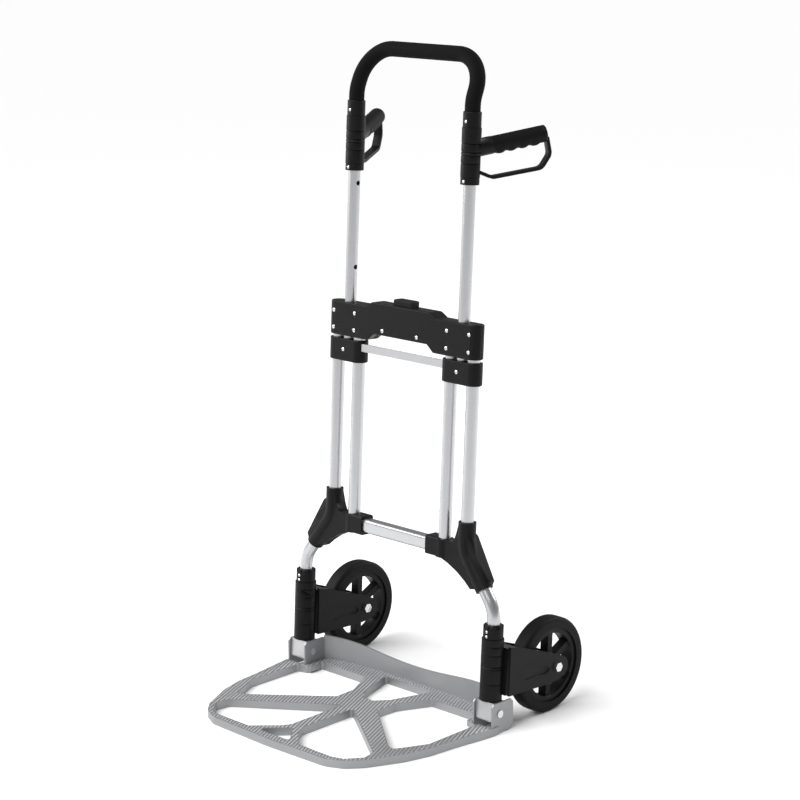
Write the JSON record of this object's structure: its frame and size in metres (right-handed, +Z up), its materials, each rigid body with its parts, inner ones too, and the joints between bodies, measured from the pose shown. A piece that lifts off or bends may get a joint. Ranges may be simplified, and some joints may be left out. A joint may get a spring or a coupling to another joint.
{
  "type": "folding hand truck",
  "caption": "Folding hand truck with a telescoping loop handle, rear barrel grips, a fold-up toe plate and spoked wheels on swivelling forks.",
  "frame": {"origin": "on the floor, at the middle of the bounding box seen from above", "axes": "+Z up, toe plate towards -Y, wheels towards +Y, +X to the right seen from the front"},
  "size_m": [0.564, 0.5664, 1.2154],
  "materials": {
    "anodised": "satin",
    "plate_aluminium": "matte",
    "grey_casting": "matte",
    "black_plastic": "matte",
    "grip_rubber": "matte",
    "foam": "matte",
    "zinc": "satin",
    "tyre": "matte"
  },
  "bodies": {
    "frame": {"lower_cross_bar": "anodised", "crossbar_front_shell": "black_plastic", "crossbar_rear_shell": "black_plastic", "crossbar_screws": "zinc", "button_spring": "zinc", "leg_collar_screws": "zinc", "left_outer_tube": "anodised", "left_inner_tube": "anodised", "left_corner_bracket": "black_plastic", "left_leg_foot": "grey_casting", "left_pivot_pin": "zinc", "left_leg_collar": "black_plastic", "right_outer_tube": "anodised", "right_inner_tube": "anodised", "right_corner_bracket": "black_plastic", "right_leg_foot": "grey_casting", "right_pivot_pin": "zinc", "right_leg_collar": "black_plastic"},
    "handle": {"handle_tube": "anodised", "foam_grip": "foam", "tie_strip": "anodised", "slider_screws": "zinc", "grip_collar_screws": "zinc", "left_slider_block": "black_plastic", "left_upper_collar": "black_plastic", "left_lower_collar": "black_plastic", "right_slider_block": "black_plastic", "right_upper_collar": "black_plastic", "right_lower_collar": "black_plastic"},
    "button": {"latch_button": "black_plastic"},
    "toe_plate": {"toe_plate": "plate_aluminium"},
    "left_pin": {"left_latch_pin": "zinc"},
    "left_grip": {"left_grip_body": "black_plastic", "left_grip_rubber": "grip_rubber", "left_grip_guard": "black_plastic"},
    "left_fork": {"left_fork": "black_plastic", "left_axle_bolt": "zinc", "left_axle_nut": "zinc", "left_axle_spacers": "zinc"},
    "left_wheel": {"left_rim": "black_plastic", "left_tyre": "tyre", "left_bearings": "zinc"},
    "right_pin": {"right_latch_pin": "zinc"},
    "right_grip": {"right_grip_body": "black_plastic", "right_grip_rubber": "grip_rubber", "right_grip_guard": "black_plastic"},
    "right_fork": {"right_fork": "black_plastic", "right_axle_bolt": "zinc", "right_axle_nut": "zinc", "right_axle_spacers": "zinc"},
    "right_wheel": {"right_rim": "black_plastic", "right_tyre": "tyre", "right_bearings": "zinc"}
  },
  "joints": [
    {"name": "handle_slide", "type": "slide", "parent": "frame", "child": "handle", "axis": [0, 0.061, 0.9981], "range_m": [-0.243, 0]},
    {"name": "button_press", "type": "slide", "parent": "frame", "child": "button", "axis": [0, 0.061, 0.9981], "range_m": [-0.006, 0], "stiffness_N_per_m": 300, "springref_m": 0.002},
    {"name": "left_pin_slide", "type": "slide", "parent": "frame", "child": "left_pin", "axis": [-1, 0, 0], "range_m": [-0.006, 0]},
    {"name": "right_pin_slide", "type": "slide", "parent": "frame", "child": "right_pin", "axis": [1, 0, 0], "range_m": [-0.006, 0]},
    {"name": "plate_fold", "type": "hinge", "parent": "frame", "child": "toe_plate", "pos_m": [0, 0.04476, 0.0375], "axis": [-1, 0, 0], "range_deg": [0, 93.5]},
    {"name": "left_fork_swing", "type": "hinge", "parent": "frame", "child": "left_fork", "pos_m": [-0.244, 0.04918, 0.10987], "axis": [0, -0.061, -0.9981], "range_deg": [0, 90]},
    {"name": "left_wheel_spin", "type": "hinge", "parent": "left_fork", "child": "left_wheel", "pos_m": [-0.248, 0.19324, 0.09], "axis": [1, 0, 0], "continuous": true},
    {"name": "left_grip_swivel", "type": "hinge", "parent": "handle", "child": "left_grip", "pos_m": [-0.144, 0.10596, 1.03813], "axis": [0, -0.061, -0.9981], "range_deg": [0, 60]},
    {"name": "right_fork_swing", "type": "hinge", "parent": "frame", "child": "right_fork", "pos_m": [0.244, 0.04918, 0.10987], "axis": [0, 0.061, 0.9981], "range_deg": [0, 90]},
    {"name": "right_wheel_spin", "type": "hinge", "parent": "right_fork", "child": "right_wheel", "pos_m": [0.248, 0.19324, 0.09], "axis": [1, 0, 0], "continuous": true},
    {"name": "right_grip_swivel", "type": "hinge", "parent": "handle", "child": "right_grip", "pos_m": [0.144, 0.10596, 1.03813], "axis": [0, 0.061, 0.9981], "range_deg": [0, 60]}
  ],
  "couplings": [
    {"joint": "left_fork_swing", "follows": "plate_fold", "ratio": 0.96257},
    {"joint": "right_fork_swing", "follows": "plate_fold", "ratio": 0.96257},
    {"joint": "left_pin_slide", "follows": "button_press", "ratio": 1},
    {"joint": "right_pin_slide", "follows": "button_press", "ratio": 1}
  ]
}
